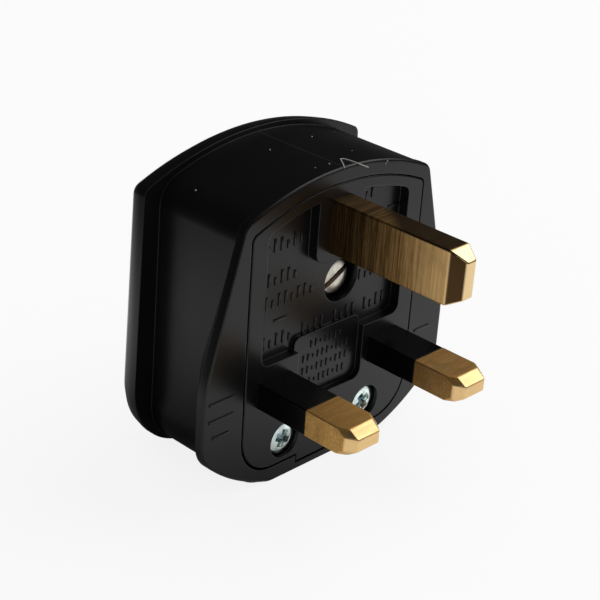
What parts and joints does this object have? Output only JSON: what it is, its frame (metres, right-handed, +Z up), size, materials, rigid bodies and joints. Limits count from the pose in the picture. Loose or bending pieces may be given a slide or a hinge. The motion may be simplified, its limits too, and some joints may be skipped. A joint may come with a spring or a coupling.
{
  "type": "uk three pin plug",
  "caption": "Rewirable three pin mains plug with rectangular pins, a screwed black housing with finger grips, a fuse inside and a cord entry in its foot.",
  "frame": {"origin": "on the standing plane under the cord entry end, midway across, in the plane of the pin face, which is also the middle of the depth from pin tip to back", "axes": "+X across the face to the right, seen from the pins, +Y from the face into the housing, so that the pins point along -Y, +Z up towards the earth pin"},
  "size_m": [0.0492, 0.0454, 0.0464],
  "materials": {
    "cover_plastic": "semi-gloss",
    "base_plastic": "semi-gloss",
    "sleeve_plastic": "glossy",
    "pin_brass": "milled",
    "terminal_brass": "milled",
    "plated_screw": "satin",
    "zinc_screw": "satin",
    "terminal_screw": "satin",
    "grip_bar_plastic": "matt",
    "clip_metal": "satin",
    "fibre": "matt",
    "fuse_ceramic": "matt",
    "fuse_cap_metal": "polished"
  },
  "bodies": {
    "root": {"rear_cover": "cover_plastic", "pin_base": "base_plastic", "earth_pin": "pin_brass", "neutral_pin": "pin_brass", "live_pin": "pin_brass", "neutral_sleeve": "sleeve_plastic", "live_sleeve": "sleeve_plastic", "live_terminal": "terminal_brass", "cord_grip_bar": "grip_bar_plastic", "live_pin_clip": "clip_metal", "live_terminal_clip": "clip_metal", "cover_screw_insert": "terminal_brass", "cover_screw_washer": "fibre", "fuse_tube": "fuse_ceramic", "fuse_cap_lower": "fuse_cap_metal", "fuse_cap_upper": "fuse_cap_metal", "cover_screw": "plated_screw", "cord_grip_screw_left": "zinc_screw", "cord_grip_screw_right": "zinc_screw", "earth_terminal_screw": "terminal_screw", "neutral_terminal_screw": "terminal_screw", "live_terminal_screw": "terminal_screw"}
  },
  "joints": []
}
